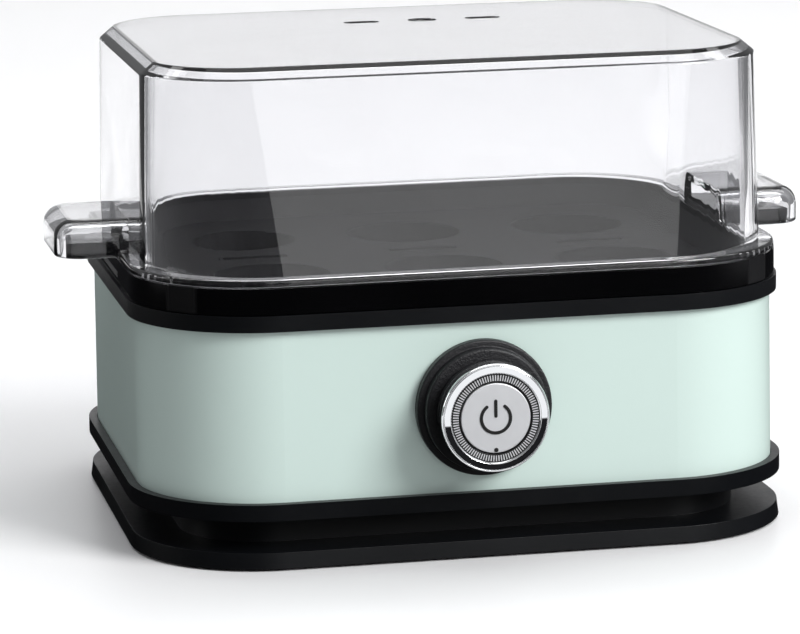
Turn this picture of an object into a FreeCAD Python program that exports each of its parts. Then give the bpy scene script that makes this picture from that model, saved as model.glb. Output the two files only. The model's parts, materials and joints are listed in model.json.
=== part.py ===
import FreeCAD, Part
import math
import os

import Sketcher

# Rectangular six-egg cooker.  +Z is up, +X to the right, the dial faces -Y.  The origin is the
# middle of the footprint, on the surface that the rubber feet stand on.  Millimetres throughout.

SIZES = {
    # Plan outline shared by the painted shell and everything stacked with it
    "body_half_x": 92.0, "body_half_y": 79.0, "body_radius": 36.0,
    # Heights of the stack, from the feet up
    "plate_low": 0.7, "plate_floor": 3.2, "plate_top": 5.2, "neck_top": 14.3,
    "chassis_floor": 16.5, "shell_low": 17.0, "chassis_top": 19.0, "chassis_lip": 25.0,
    "skirt_low": 60.0, "deck_low": 64.0, "ring_low": 67.2, "ledge_level": 68.7,
    "shell_high": 69.0, "ring_high": 71.7, "collar_low": 72.0, "deck_high": 73.8,
    "collar_high": 79.2, "lid_low": 79.5, "flange_high": 81.6, "crease_level": 135.0,
    "lid_high": 138.3,
    # How far each layer stands out from (+) or in from (-) the plan outline
    "foot_out_low": 2.8, "foot_out_high": 2.2, "neck_in": 11.0, "neck_wall": 2.5,
    "ledge_out": 3.0, "ring_out": 2.0, "collar_out": 1.3, "flange_out": 1.2,
    "shell_wall": 1.0, "shell_flare": 0.4, "groove_gap": 0.2, "lip_wall": 2.2,
    "rebate_in": 4.0, "deck_in": 17.0,
    # Heating plate, gasket and what hangs under the plate
    "gasket_in": 6.0, "gasket_width": 3.0, "gasket_high": 69.7, "sheet": 1.0,
    "basin_half_x": 72.0, "basin_half_y": 57.0, "basin_radius": 22.0, "basin_slope": 6.0,
    "basin_low": 58.0, "loop_half_x": 44.0, "loop_half_y": 30.0, "loop_corner": 18.0,
    "loop_radius": 3.3, "loop_level": 54.6, "leg_x": 12.0, "leg_low": 36.0,
    "stud_x": 20.0, "stud_radius": 2.0, "stud_low": 38.5, "clamp_high": 51.2,
    "clamp_low": 49.6, "nut_radius": 3.6, "nut_height": 3.0, "shield_low": 43.2,
    "shield_high": 56.0, "shield_half_x": 62.0, "shield_half_y": 46.0, "shield_radius": 16.0,
    "thermostat_radius": 8.0, "thermostat_low": 53.0, "thermostat_high": 57.9,
    "fuse_y": -15.0, "fuse_level": 54.4, "fuse_radius": 2.0, "sleeve_radius": 3.0,
    # Egg tray
    "well_in": 5.8, "tray_deck_in": 14.0, "deck_sheet": 1.8, "lip_in": 5.0, "lip_width": 2.0,
    "lip_high": 81.0, "egg_pitch_x": 50.5, "egg_row_y": 29.0, "egg_hole": 17.0,
    "cup_wall": 1.5, "cup_low": 66.0, "cup_hole": 14.0, "slot_length": 20.0, "slot_width": 3.6,
    "ear_tip": 107.0, "ear_root": 87.2, "ear_half_y": 16.0, "ear_low": 79.3, "ear_high": 83.5,
    "riser_out": 93.0, "panel_half_y": 20.0, "panel_depth": 0.6, "panel_low": 73.6,
    "panel_high": 77.8,
    # Clear lid
    "lid_foot_in": 2.0, "lid_wall": 2.2, "lid_top_half_x": 88.6, "lid_top_half_y": 69.0,
    "lid_top_radius": 26.5, "lid_chamfer": 4.0, "hood_tip": 110.5, "hood_half_y": 21.0,
    "hood_low": 79.5, "hood_shoulder": 85.5, "hood_high": 90.0, "hood_wall": 2.0,
    "hood_radius": 8.0, "hood_bevel_x": 5.0, "hood_bevel_y": 4.5,
    "vent_middle": 6.8, "vent_x": 18.5, "vent_y": 28.7, "vent_length": 10.5, "vent_width": 4.6,
    "mark_radius": 4.2,
    # Dial and power button, on an axis along Y
    "knob_level": 43.0, "shell_hole": 14.5, "bezel_radius": 19.2, "bezel_step": 17.3,
    "bezel_face": -82.5, "bezel_front": -86.0, "bezel_bore": 12.6, "collar_radius": 14.3,
    "collar_end": -75.5, "barrel_back": -86.3, "barrel_radius": 14.4, "ring_back": -91.0,
    "ring_front": -96.5, "ring_radius": 15.2, "neck_radius": 12.5, "tick_back": -95.4,
    "tick_front": -96.1, "button_pocket": 10.1, "pocket_floor": -91.7, "button_radius": 9.8,
    "button_back": -93.6, "button_front": -96.0, "bore_radius": 6.4, "sleeve_end": -73.6,
    "rotor_radius": 9.0, "rotor_end": -68.2, "encoder_radius": 15.0, "board_front": -67.6,
    "board_back": -66.0, "guide_radius": 5.9, "guide_front": -88.5, "guide_step": -74.2,
    "plunger_radius": 2.5, "plunger_end": -72.9, "switch_front": -71.1, "running_gap": 0.1,
    "coil_radius": 3.9, "coil_pitch": 1.15, "coil_wire": 0.3,
    # Board, screws, gland and wiring
    "board_half_x": 32.0, "board_low": 24.0, "board_high": 62.0, "post_x": 27.0,
    "post_half": 3.0, "post_back": -58.0, "board_screw_low": 28.0, "board_screw_high": 57.0,
    "foot_x": 66.0, "foot_y": 54.0, "foot_radius": 8.0, "foot_high": 1.9,
    "base_screw_x": 48.0, "base_screw_y": 50.0, "tie_x": 68.0, "tie_y": 55.0,
    "boss_radius": 4.0, "screw_radius": 1.5, "pilot_radius": 1.55, "head_radius": 3.0,
    "head_height": 2.0, "ring_boss_low": 40.0, "tie_high": 58.0, "gland_level": 9.75,
    "gland_radius": 3.9, "gland_lip": 4.3, "gland_bore": 3.1, "gland_inner": 62.0,
    "gland_outer": 72.0, "block_half_x": 9.0, "block_front": 40.0, "block_back": 52.0,
    "block_high": 27.0, "wire_radius": 1.05, "wire_pitch": 2.4, "wire_level": 22.0,
}

CORNERS = ((1, 1), (-1, 1), (-1, -1), (1, -1))
TOWARDS_Y = FreeCAD.Rotation(FreeCAD.Vector(1, 0, 0), -90)
TOWARDS_X = FreeCAD.Rotation(FreeCAD.Vector(0, 1, 0), 90)

doc = FreeCAD.newDocument("EggCooker")
sheet = doc.addObject("Spreadsheet::Sheet", "Sizes")
for row, (size_name, size) in enumerate(SIZES.items(), start=1):
    sheet.set(f"A{row}", size_name)
    sheet.set(f"B{row}", str(size))
    sheet.setAlias(f"B{row}", size_name)
doc.recompute()

sub_parts = []


# ---------------------------------------------------------------- formulas
# A formula is a sum of signed terms, each a number, a size, or number*size.

def terms(formula):
    pairs = []
    signed = formula.replace(" ", "").replace("--", "+").replace("+-", "-")
    for term in signed.replace("-", "+-").split("+"):
        if not term:
            continue
        factor = -1.0 if term.startswith("-") else 1.0
        name = None
        for item in term.lstrip("-").split("*"):
            if item in SIZES:
                name = item
            else:
                factor *= float(item)
        pairs.append((factor, name))
    return pairs


def number(formula):
    return sum(factor * (SIZES[name] if name else 1.0) for factor, name in terms(formula))


def bound(formula):
    return " + ".join(f"{factor} * Sizes.{name}" if name else f"{factor}"
                      for factor, name in terms(formula))


def less(high, low):
    return f"{bound(high)} - ({bound(low)})"


def keep(piece, label):
    """Mark a document object as a finished sub-part with its own label."""
    piece.Label = label
    sub_parts.append(piece)
    return piece


# ---------------------------------------------------------------- primitives and booleans

def place(piece, x, y, z, turn=FreeCAD.Rotation()):
    piece.Placement = FreeCAD.Placement(FreeCAD.Vector(number(x), number(y), number(z)), turn)
    for axis, formula in zip("xyz", (x, y, z)):
        piece.setExpression(f"Placement.Base.{axis}", bound(formula))


def box(x, y, z):
    """A block between pairs of formulas (low, high) along each axis."""
    piece = doc.addObject("Part::Box", "Block")
    for side, (low, high) in zip(("Length", "Width", "Height"), (x, y, z)):
        piece.setExpression(side, less(high, low))
    place(piece, x[0], y[0], z[0])
    return piece


def rod(radius, low, high, x="0", y="0", z="0", along="z"):
    """A cylinder from low to high along one axis, at the other two coordinates."""
    piece = doc.addObject("Part::Cylinder", "Rod")
    piece.setExpression("Radius", bound(radius))
    piece.setExpression("Height", less(high, low))
    if along == "z":
        place(piece, x, y, low)
    elif along == "y":
        place(piece, x, low, z, TOWARDS_Y)
    else:
        place(piece, low, y, z, TOWARDS_X)
    return piece


def cone(radius_low, radius_high, low, high, x, y):
    piece = doc.addObject("Part::Cone", "Taper")
    piece.setExpression("Radius1", bound(radius_low))
    piece.setExpression("Radius2", bound(radius_high))
    piece.setExpression("Height", less(high, low))
    place(piece, x, y, low)
    return piece


def fuse(*pieces):
    if len(pieces) == 1:
        return pieces[0]
    joined = doc.addObject("Part::MultiFuse", "Joined")
    joined.Shapes = list(pieces)
    return joined


def cut(base, *tools):
    result = doc.addObject("Part::Cut", "Trimmed")
    result.Base = base
    result.Tool = fuse(*tools)
    return result


def group(*pieces):
    """Separate solids that share one sub-part."""
    together = doc.addObject("Part::Compound", "Group")
    together.Links = list(pieces)
    return together


def collar(outer, inner, low, high, x="0", z="knob_level"):
    """A ring on an axis along Y."""
    return cut(rod(outer, low, high, x=x, z=z, along="y"),
               rod(inner, f"{low} - 1", f"{high} + 1", x=x, z=z, along="y"))


def eased(piece, size, wanted):
    """Round the circular edges that lie at one of the wanted Y levels."""
    doc.recompute()
    edges = []
    for index, edge in enumerate(piece.Shape.Edges, start=1):
        box_y = edge.BoundBox
        flat = box_y.YMax - box_y.YMin < 1e-6
        if flat and any(abs(box_y.YMin - number(level)) < 1e-6 for level in wanted):
            edges.append((index, size, size))
    rounded = doc.addObject("Part::Fillet", "Eased")
    rounded.Base = piece
    rounded.Edges = edges
    return rounded


# ---------------------------------------------------------------- sketches and body features

def new_body(label):
    return keep(doc.addObject("PartDesign::Body", label), label)


def sketch_on_plan(body, level):
    plane = next(item for item in body.Origin.OriginFeatures if item.Role == "XY_Plane")
    sketch = body.newObject("Sketcher::SketchObject", "Outline")
    sketch.AttachmentSupport = [(plane, "")]
    sketch.MapMode = "FlatFace"
    sketch.AttachmentOffset = FreeCAD.Placement(
        FreeCAD.Vector(0, 0, number(level)), FreeCAD.Rotation())
    sketch.setExpression("AttachmentOffset.Base.z", bound(level))
    return sketch


def dimension(sketch, formula, kind, *where):
    index = sketch.addConstraint(Sketcher.Constraint(kind, *where, number(formula)))
    name = f"size_{index}"
    sketch.renameConstraint(index, name)
    sketch.setExpression(f"Constraints.{name}", bound(formula))


def rounded_wire(sketch, half_x, half_y, radius):
    """A rounded rectangle about the origin: four corner arcs, then four sides."""
    corner = number(radius)
    across, along = number(half_x) - corner, number(half_y) - corner
    up = FreeCAD.Vector(0, 0, 1)
    arcs = []
    for turn, (side_x, side_y) in enumerate(CORNERS):
        circle = Part.Circle(FreeCAD.Vector(side_x * across, side_y * along, 0), up, corner)
        arcs.append(Part.ArcOfCircle(circle, turn * math.pi / 2, (turn + 1) * math.pi / 2))
    first = sketch.GeometryCount
    for arc in arcs:
        sketch.addGeometry(arc)
    for turn in range(4):
        sketch.addGeometry(Part.LineSegment(arcs[turn].EndPoint, arcs[(turn + 1) % 4].StartPoint))
    for turn in range(4):
        side = first + 4 + turn
        sketch.addConstraint(Sketcher.Constraint("Tangent", first + turn, 2, side, 1))
        sketch.addConstraint(
            Sketcher.Constraint("Tangent", side, 2, first + (turn + 1) % 4, 1))
        sketch.addConstraint(
            Sketcher.Constraint("Vertical" if turn % 2 else "Horizontal", side))
    for turn in range(1, 4):
        sketch.addConstraint(Sketcher.Constraint("Equal", first, first + turn))
    sketch.addConstraint(Sketcher.Constraint("Symmetric", first, 3, first + 2, 3, -1, 1))
    dimension(sketch, half_x, "DistanceX", -1, 1, first + 7, 1)
    dimension(sketch, half_y, "DistanceY", -1, 1, first + 4, 1)
    dimension(sketch, radius, "Radius", first)


def plan_wire(sketch, out):
    """The shared plan outline, moved out (+) or in (-) by a formula."""
    rounded_wire(sketch, f"body_half_x + {out}", f"body_half_y + {out}", f"body_radius + {out}")


def circle_wire(sketch, x, y, radius):
    centre = FreeCAD.Vector(number(x), number(y), 0)
    index = sketch.addGeometry(Part.Circle(centre, FreeCAD.Vector(0, 0, 1), number(radius)))
    dimension(sketch, x, "DistanceX", -1, 1, index, 3)
    dimension(sketch, y, "DistanceY", -1, 1, index, 3)
    dimension(sketch, radius, "Radius", index)


def at_corners(sketch, x, y, radius):
    for side_x, side_y in CORNERS:
        circle_wire(sketch, f"{side_x}*{x}", f"{side_y}*{y}", radius)


def pad(body, sketch, top, low):
    feature = body.newObject("PartDesign::Pad", "Pad")
    feature.Profile = sketch
    feature.setExpression("Length", less(top, low))
    doc.recompute()
    return feature


def pocket(body, sketch, top, low):
    """Cut downwards from the sketch, which lies at the top level."""
    before = body.Shape.Volume
    feature = body.newObject("PartDesign::Pocket", "Pocket")
    feature.Profile = sketch
    feature.setExpression("Length", less(top, low))
    doc.recompute()
    if body.Shape.Volume > before - 1e-3:
        raise RuntimeError(f"{body.Label}: a pocket cut nothing")
    return feature


def loft(body, sketches, cutting=False):
    before = body.Shape.Volume if cutting else 0
    kind = "SubtractiveLoft" if cutting else "AdditiveLoft"
    feature = body.newObject(f"PartDesign::{kind}", kind)
    feature.Profile = sketches[0]
    feature.Sections = sketches[1:]
    feature.Ruled = True
    doc.recompute()
    if cutting and body.Shape.Volume > before - 1e-3:
        raise RuntimeError(f"{body.Label}: a tapered pocket cut nothing")
    return feature


def plan(body, level, *outs):
    sketch = sketch_on_plan(body, level)
    for out in outs:
        plan_wire(sketch, out)
    return sketch


def rounded(body, level, half_x, half_y, radius):
    sketch = sketch_on_plan(body, level)
    rounded_wire(sketch, half_x, half_y, radius)
    return sketch


def corner_holes(body, x, y, radius, top, low):
    sketch = sketch_on_plan(body, top)
    at_corners(sketch, x, y, radius)
    pocket(body, sketch, top, low)


def corner_bosses(body, x, y, radius, top, low):
    sketch = sketch_on_plan(body, low)
    at_corners(sketch, x, y, radius)
    pad(body, sketch, top, low)


# ---------------------------------------------------------------- base

def make_base_plate():
    """Standing plate with the narrower neck that the cord is wound round."""
    body = new_body("base_plate")
    loft(body, [plan(body, "plate_low", "foot_out_low"), plan(body, "plate_top", "foot_out_high")])
    pad(body, plan(body, "plate_top", "-1*neck_in"), "neck_top", "plate_top")
    pocket(body, plan(body, "neck_top", "-1*neck_in - neck_wall"), "neck_top", "plate_floor")
    corner_bosses(body, "base_screw_x", "base_screw_y", "boss_radius + 0.8",
                  "neck_top", "plate_floor")
    corner_holes(body, "base_screw_x", "base_screw_y", "pilot_radius", "neck_top", "plate_low")
    corner_holes(body, "base_screw_x", "base_screw_y", "head_radius + 0.4",
                 "plate_floor + 3", "plate_low")
    corner_holes(body, "foot_x", "foot_y", "foot_radius + 0.1", "foot_high", "plate_low")
    sub_parts.remove(body)
    body.Label = "base_plate_blank"
    gland_hole = rod("gland_radius + 0.05", "gland_inner", "gland_outer",
                     z="gland_level", along="y")
    keep(cut(body, gland_hole), "base_plate")


def make_rubber_feet():
    feet = [rod("foot_radius", "0", "foot_high", x=f"{sx}*foot_x", y=f"{sy}*foot_y")
            for sx, sy in CORNERS]
    keep(group(*feet), "rubber_feet")


def screw(x, y, head_low, tip):
    """A pan-head screw driven upwards."""
    head = rod("head_radius", head_low, f"{head_low} + head_height", x=x, y=y)
    shank = rod("screw_radius", f"{head_low} + head_height - 0.5", tip, x=x, y=y)
    slot = box((f"{x} - 2.2", f"{x} + 2.2"), (f"{y} - 0.4", f"{y} + 0.4"),
               (f"{head_low} - 1", f"{head_low} + 0.9"))
    return cut(fuse(head, shank), slot)


def make_base_screws():
    screws = [screw(f"{sx}*base_screw_x", f"{sy}*base_screw_y",
                    "plate_floor + 3 - head_height", "chassis_floor + 5") for sx, sy in CORNERS]
    keep(group(*screws), "base_screws")


def make_tie_screws():
    screws = [screw(f"{sx}*tie_x", f"{sy}*tie_y", "neck_top + 0.4", "tie_high")
              for sx, sy in CORNERS]
    keep(group(*screws), "tie_screws")


def make_cord_gland():
    barrel = rod("gland_radius", "gland_inner", "gland_outer - 2", z="gland_level", along="y")
    lip = rod("gland_lip", "body_half_y - neck_in + 0.1", "gland_outer",
              z="gland_level", along="y")
    bore = rod("gland_bore", "gland_inner - 1", "gland_outer + 1", z="gland_level", along="y")
    keep(cut(fuse(barrel, lip), bore), "cord_gland")


def make_chassis():
    """Lower satin ring with the floor that carries the works."""
    body = new_body("chassis_blank")
    sub_parts.remove(body)
    pad(body, plan(body, "neck_top", "ledge_out"), "chassis_top", "neck_top")
    pad(body, plan(body, "chassis_top", "-1*shell_wall - groove_gap"),
        "chassis_lip", "chassis_top")
    pocket(body, plan(body, "chassis_lip", "-1*shell_wall - groove_gap - lip_wall"),
           "chassis_lip", "chassis_floor")
    pocket(body, plan(body, "chassis_top", "shell_flare + groove_gap",
                      "-1*shell_wall - groove_gap"), "chassis_top", "shell_low")
    corner_bosses(body, "base_screw_x", "base_screw_y", "boss_radius",
                  "chassis_floor + 7", "chassis_floor")
    corner_holes(body, "base_screw_x", "base_screw_y", "pilot_radius",
                 "chassis_floor + 6", "neck_top")
    corner_bosses(body, "tie_x", "tie_y", "boss_radius + 0.2",
                  "ring_boss_low - 0.3", "chassis_floor")
    corner_holes(body, "tie_x", "tie_y", "pilot_radius", "ring_boss_low - 0.3", "neck_top")
    corner_holes(body, "tie_x", "tie_y", "head_radius + 0.3",
                 "neck_top + 0.4 + head_height", "neck_top")
    posts = []
    pilots = []
    for side in (-1, 1):
        centre = f"{side}*post_x"
        posts.append(box((f"{centre} - post_half", f"{centre} + post_half"),
                         ("board_back", "post_back"), ("chassis_floor", "board_high - 1")))
        for level in ("board_screw_low", "board_screw_high"):
            pilots.append(rod("pilot_radius", "board_back - 1", "board_back + 6",
                              x=centre, z=level, along="y"))
    cord_slot = box(("-1*block_half_x", "block_half_x"), ("block_back + 2", "gland_inner"),
                    ("neck_top - 1", "chassis_floor + 1"))
    air_slots = [box((f"{step}*8 - 1.5", f"{step}*8 + 1.5"), ("-30", "30"),
                     ("neck_top - 1", "chassis_floor + 1")) for step in range(-3, 4)]
    keep(cut(fuse(body, *posts), *pilots, cord_slot, *air_slots), "chassis")


# ---------------------------------------------------------------- shell and upper ring

def make_body_shell():
    body = new_body("body_shell_blank")
    sub_parts.remove(body)
    loft(body, [plan(body, "shell_low", "shell_flare"), plan(body, "shell_high", "0")])
    loft(body, [plan(body, "shell_low - 0.1", "shell_flare - shell_wall"),
                plan(body, "shell_high + 0.1", "-1*shell_wall")], cutting=True)
    opening = rod("shell_hole", "-1*body_half_y - 5", "-1*body_half_y + 5",
                  z="knob_level", along="y")
    keep(cut(body, opening), "body_shell")


def make_upper_ring():
    """Satin ring that caps the shell and carries the heating plate on its ledge."""
    body = new_body("upper_ring")
    pad(body, plan(body, "ring_low", "ring_out"), "ring_high", "ring_low")
    pad(body, plan(body, "skirt_low", "-1*shell_wall - groove_gap"), "ring_low", "skirt_low")
    pocket(body, plan(body, "ring_high", "-1*rebate_in"), "ring_high", "ledge_level")
    pocket(body, plan(body, "ledge_level", "-1*deck_in"), "ledge_level", "skirt_low")
    pocket(body, plan(body, "deck_low", "-1*shell_wall - groove_gap - lip_wall"),
           "deck_low", "skirt_low")
    pocket(body, plan(body, "shell_high + groove_gap", "groove_gap",
                      "-1*shell_wall - groove_gap"), "shell_high + groove_gap", "ring_low")
    corner_bosses(body, "tie_x", "tie_y", "boss_radius", "ring_low", "ring_boss_low")
    corner_holes(body, "tie_x", "tie_y", "pilot_radius", "tie_high + 1", "ring_boss_low")


# ---------------------------------------------------------------- heating plate and heater

def make_plate_gasket():
    body = new_body("plate_gasket")
    pad(body, plan(body, "ledge_level", "-1*gasket_in", "-1*gasket_in - gasket_width"),
        "gasket_high", "ledge_level")


def make_heating_plate():
    """Shallow metal basin with a flat flange on the gasket."""
    body = new_body("heating_plate")
    top = "gasket_high"
    loft(body, [
        rounded(body, "basin_low", "basin_half_x - basin_slope", "basin_half_y - basin_slope",
                "basin_radius - basin_slope"),
        rounded(body, top, "basin_half_x", "basin_half_y", "basin_radius")])
    pad(body, plan(body, top, "-1*rebate_in - 0.3"), f"{top} + sheet", top)
    loft(body, [
        rounded(body, "basin_low + sheet", "basin_half_x - basin_slope - sheet",
                "basin_half_y - basin_slope - sheet", "basin_radius - basin_slope - sheet"),
        rounded(body, f"{top} + sheet", "basin_half_x - sheet", "basin_half_y - sheet",
                "basin_radius - sheet")], cutting=True)


def bent_path(points, bend):
    """Straight runs between points (x, y, z formulas), joined by arcs of one radius."""
    corners = [FreeCAD.Vector(*(number(item) for item in point)) for point in points]
    edges = []
    start = corners[0]
    for before, corner, after in zip(corners, corners[1:], corners[2:]):
        inward = (before - corner).normalize()
        outward = (after - corner).normalize()
        half_turn = (math.pi - inward.getAngle(outward)) / 2
        reach = bend * math.tan(half_turn)
        arc_start = corner + inward * reach
        arc_end = corner + outward * reach
        bisector = (inward + outward).normalize()
        middle = corner + bisector * (bend / math.cos(half_turn) - bend)
        if (arc_start - start).Length > 1e-6:
            edges.append(Part.LineSegment(start, arc_start).toShape())
        edges.append(Part.Arc(arc_start, middle, arc_end).toShape())
        start = arc_end
    edges.append(Part.LineSegment(start, corners[-1]).toShape())
    return Part.Wire(edges)


def tube(label, points, radius, bend):
    path = bent_path(points, bend)
    start = path.Edges[0]
    section = Part.Wire(Part.Circle(
        start.valueAt(start.FirstParameter), start.tangentAt(start.FirstParameter),
        number(radius)).toShape())
    piece = doc.addObject("Part::Feature", label)
    piece.Shape = path.makePipeShell([section], True, False)
    expected = math.pi * number(radius) ** 2 * path.Length
    if abs(piece.Shape.Volume - expected) > 0.02 * expected:
        raise RuntimeError(f"{label}: the tube's volume is wrong")
    piece.Placement = FreeCAD.Placement()
    return keep(piece, label)


def make_heater():
    """Sheathed heating tube bent into an open loop under the plate, its two ends turned down."""
    around = [("leg_x", "loop_half_y", "leg_low")]
    around += [("leg_x", "loop_half_y", "loop_level")]
    around += [(f"{sx}*loop_half_x", f"{sy}*loop_half_y", "loop_level")
               for sx, sy in ((1, 1), (1, -1), (-1, -1), (-1, 1))]
    around += [("-1*leg_x", "loop_half_y", "loop_level"), ("-1*leg_x", "loop_half_y", "leg_low")]
    tube("heater_element", around, "loop_radius", 9.0)
    clamp = box(("-1*loop_half_x - 4", "loop_half_x + 4"), ("-6", "6"),
                ("clamp_low", "clamp_high"))
    clearances = [rod("stud_radius + 0.1", "clamp_low - 1", "clamp_high + 1",
                      x=f"{side}*stud_x") for side in (-1, 1)]
    keep(cut(clamp, *clearances), "heater_clamp")
    studs = [rod("stud_radius", "stud_low", "basin_low", x=f"{side}*stud_x") for side in (-1, 1)]
    keep(group(*studs), "plate_studs")


def hex_nut(x, low):
    outer = doc.addObject("Part::Prism", "Hex")
    outer.Polygon = 6
    outer.setExpression("Circumradius", bound("nut_radius"))
    outer.setExpression("Height", bound("nut_height"))
    place(outer, x, "0", low)
    return cut(outer, rod("stud_radius + 0.02", f"{low} - 1", f"{low} + nut_height + 1", x=x))


def make_stud_nuts():
    nuts = [hex_nut(f"{side}*stud_x", low) for side in (-1, 1)
            for low in ("clamp_low - nut_height", "shield_low - nut_height")]
    keep(group(*nuts), "stud_nuts")


def make_heat_shield():
    """Bright tray hung on the studs, which keeps the heat off the works."""
    body = new_body("heat_shield_blank")
    sub_parts.remove(body)
    pad(body, rounded(body, "shield_low", "shield_half_x", "shield_half_y", "shield_radius"),
        "shield_high", "shield_low")
    pocket(body, rounded(body, "shield_high", "shield_half_x - sheet", "shield_half_y - sheet",
                         "shield_radius - sheet"), "shield_high", "shield_low + sheet")
    holes = [rod(radius, "shield_low - 1", "shield_low + 3", x=f"{side}*{x}", y=y)
             for side in (-1, 1)
             for radius, x, y in (("stud_radius + 0.1", "stud_x", "0"),
                                  ("loop_radius + 1.2", "leg_x", "loop_half_y"))]
    keep(cut(body, *holes), "heat_shield")


def make_thermostat():
    can = rod("thermostat_radius", "thermostat_low", "thermostat_high")
    foot = rod("thermostat_radius + 1.5", "thermostat_high - 1", "thermostat_high")
    tabs = [box((f"{side}*4 - 2", f"{side}*4 + 2"), ("-12", "0"),
                ("thermostat_low", "thermostat_low + 0.8")) for side in (-1, 1)]
    keep(fuse(can, foot, *tabs), "thermostat")
    bridge = box(("-14", "14"), ("-5", "5"), ("clamp_high", "thermostat_low"))
    keep(cut(bridge, rod("4", "clamp_high - 1", "thermostat_low + 1")), "thermostat_bridge")


def make_thermal_fuse():
    core = rod("fuse_radius", "-30", "-12", y="fuse_y", z="fuse_level", along="x")
    leads = rod("0.5", "-38", "-4", y="fuse_y", z="fuse_level", along="x")
    keep(fuse(core, leads), "thermal_fuse")
    sleeve = rod("sleeve_radius", "-33", "-9", y="fuse_y", z="fuse_level", along="x")
    inside = rod("fuse_radius + 0.05", "-34", "-8", y="fuse_y", z="fuse_level", along="x")
    keep(cut(sleeve, inside), "fuse_sleeve")
    strap = box(("-24", "-18"), ("fuse_y - 5", "fuse_y + 5"),
                ("fuse_level - 4", "basin_low - 0.1"))
    passage = rod("sleeve_radius + 0.05", "-25", "-17", y="fuse_y", z="fuse_level", along="x")
    keep(cut(strap, passage), "fuse_strap")


# ---------------------------------------------------------------- control board and wiring

def make_control_board():
    board = box(("-1*board_half_x", "board_half_x"), ("board_front", "board_back"),
                ("board_low", "board_high"))
    holes = [rod("pilot_radius + 0.2", "board_front - 1", "board_back + 1",
                 x=f"{side}*post_x", z=level, along="y")
             for side in (-1, 1) for level in ("board_screw_low", "board_screw_high")]
    keep(cut(board, *holes), "control_board")
    screws = []
    for side in (-1, 1):
        for level in ("board_screw_low", "board_screw_high"):
            centre = f"{side}*post_x"
            head = rod("head_radius - 0.3", "board_front - 1.8", "board_front",
                       x=centre, z=level, along="y")
            shank = rod("screw_radius", "board_front - 0.5", "board_back + 5",
                        x=centre, z=level, along="y")
            screws.append(fuse(head, shank))
    keep(group(*screws), "board_screws")


def make_board_components():
    keep(box(("-20", "-1"), ("board_back", "board_back + 13"), ("27", "42")), "relay")
    film = box(("3", "20"), ("board_back", "board_back + 8"), ("27", "38"))
    keep(film, "suppression_capacitor")
    sounder = rod("6", "board_back", "board_back + 7", x="10", z="52", along="y")
    port = rod("1", "board_back + 6", "board_back + 8", x="10", z="52", along="y")
    keep(cut(sounder, port), "buzzer")


def make_terminal_block():
    block = box(("-1*block_half_x", "block_half_x"), ("block_front", "block_back"),
                ("chassis_floor", "block_high"))
    wells = [rod("1", "block_high - 4", "block_high + 1", x=f"{lane}*5.4", y="46")
             for lane in (-1, 0, 1)]
    keep(cut(block, *wells), "terminal_block")


def make_wires():
    lanes = (("live_wire", -1), ("earth_wire", 0), ("neutral_wire", 1))
    for label, lane in lanes:
        x = f"{lane}*wire_pitch"
        tube(label, [(x, "gland_inner - 0.1", "gland_level"), (x, "57", "gland_level"),
                     (x, "57", "wire_level"), (x, "block_back", "wire_level")],
             "wire_radius", 3.5)
    for label, side in (("heater_wire_left", -1), ("heater_wire_right", 1)):
        tube(label, [(f"{side}*6", "block_front", "wire_level"),
                     (f"{side}*6", "33", "wire_level"),
                     (f"{side}*leg_x", "loop_half_y", "27"),
                     (f"{side}*leg_x", "loop_half_y", "leg_low")],
             "wire_radius", 3.0)


# ---------------------------------------------------------------- dial and power button

def make_knob_bezel():
    """Fixed stepped ring on the shell, its collar held from behind by a ring nut."""
    front = "-1*body_half_y - shell_flare"
    wide = rod("bezel_radius", "bezel_face", front, z="knob_level", along="y")
    narrow = rod("bezel_step", "bezel_front", front, z="knob_level", along="y")
    sleeve = rod("collar_radius", front, "collar_end", z="knob_level", along="y")
    bore = rod("bezel_bore", "bezel_front - 1", "collar_end + 1", z="knob_level", along="y")
    solid = cut(fuse(wide, narrow, sleeve), bore)
    keep(eased(solid, 0.6, ("bezel_face", "bezel_front")), "knob_bezel")
    keep(collar("bezel_radius - 2.7", "collar_radius + 0.02",
                "-1*body_half_y + shell_wall", "collar_end - 0.4"), "bezel_nut")


def make_dial():
    body = rod("barrel_radius", "ring_back", "barrel_back", z="knob_level", along="y")
    boss = rod("neck_radius - 0.1", "tick_back", "ring_back", z="knob_level", along="y")
    neck = rod("neck_radius", "barrel_back", "collar_end + 0.2", z="knob_level", along="y")
    sleeve = rod("rotor_radius - 0.1", "collar_end", "sleeve_end", z="knob_level", along="y")
    bore = rod("bore_radius", "ring_front - 1", "sleeve_end + 1", z="knob_level", along="y")
    pocket_hole = rod("button_pocket", "ring_front - 1", "pocket_floor",
                      z="knob_level", along="y")
    keep(cut(fuse(body, boss, neck, sleeve), bore, pocket_hole), "dial_barrel")
    ring = collar("ring_radius", "neck_radius - 0.1", "ring_front", "ring_back")
    keep(eased(ring, 0.8, ("ring_front",)), "dial_chrome_ring")
    keep(collar("neck_radius - 0.12", "button_pocket", "tick_front", "tick_back"),
         "dial_tick_ring")
    keep(collar("rotor_radius", "bore_radius", "sleeve_end", "rotor_end"), "encoder_rotor")
    keep(collar("collar_radius - 0.4", "rotor_radius - 0.08", "collar_end + 0.3",
                "collar_end + 1.1"), "dial_retainer")


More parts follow.
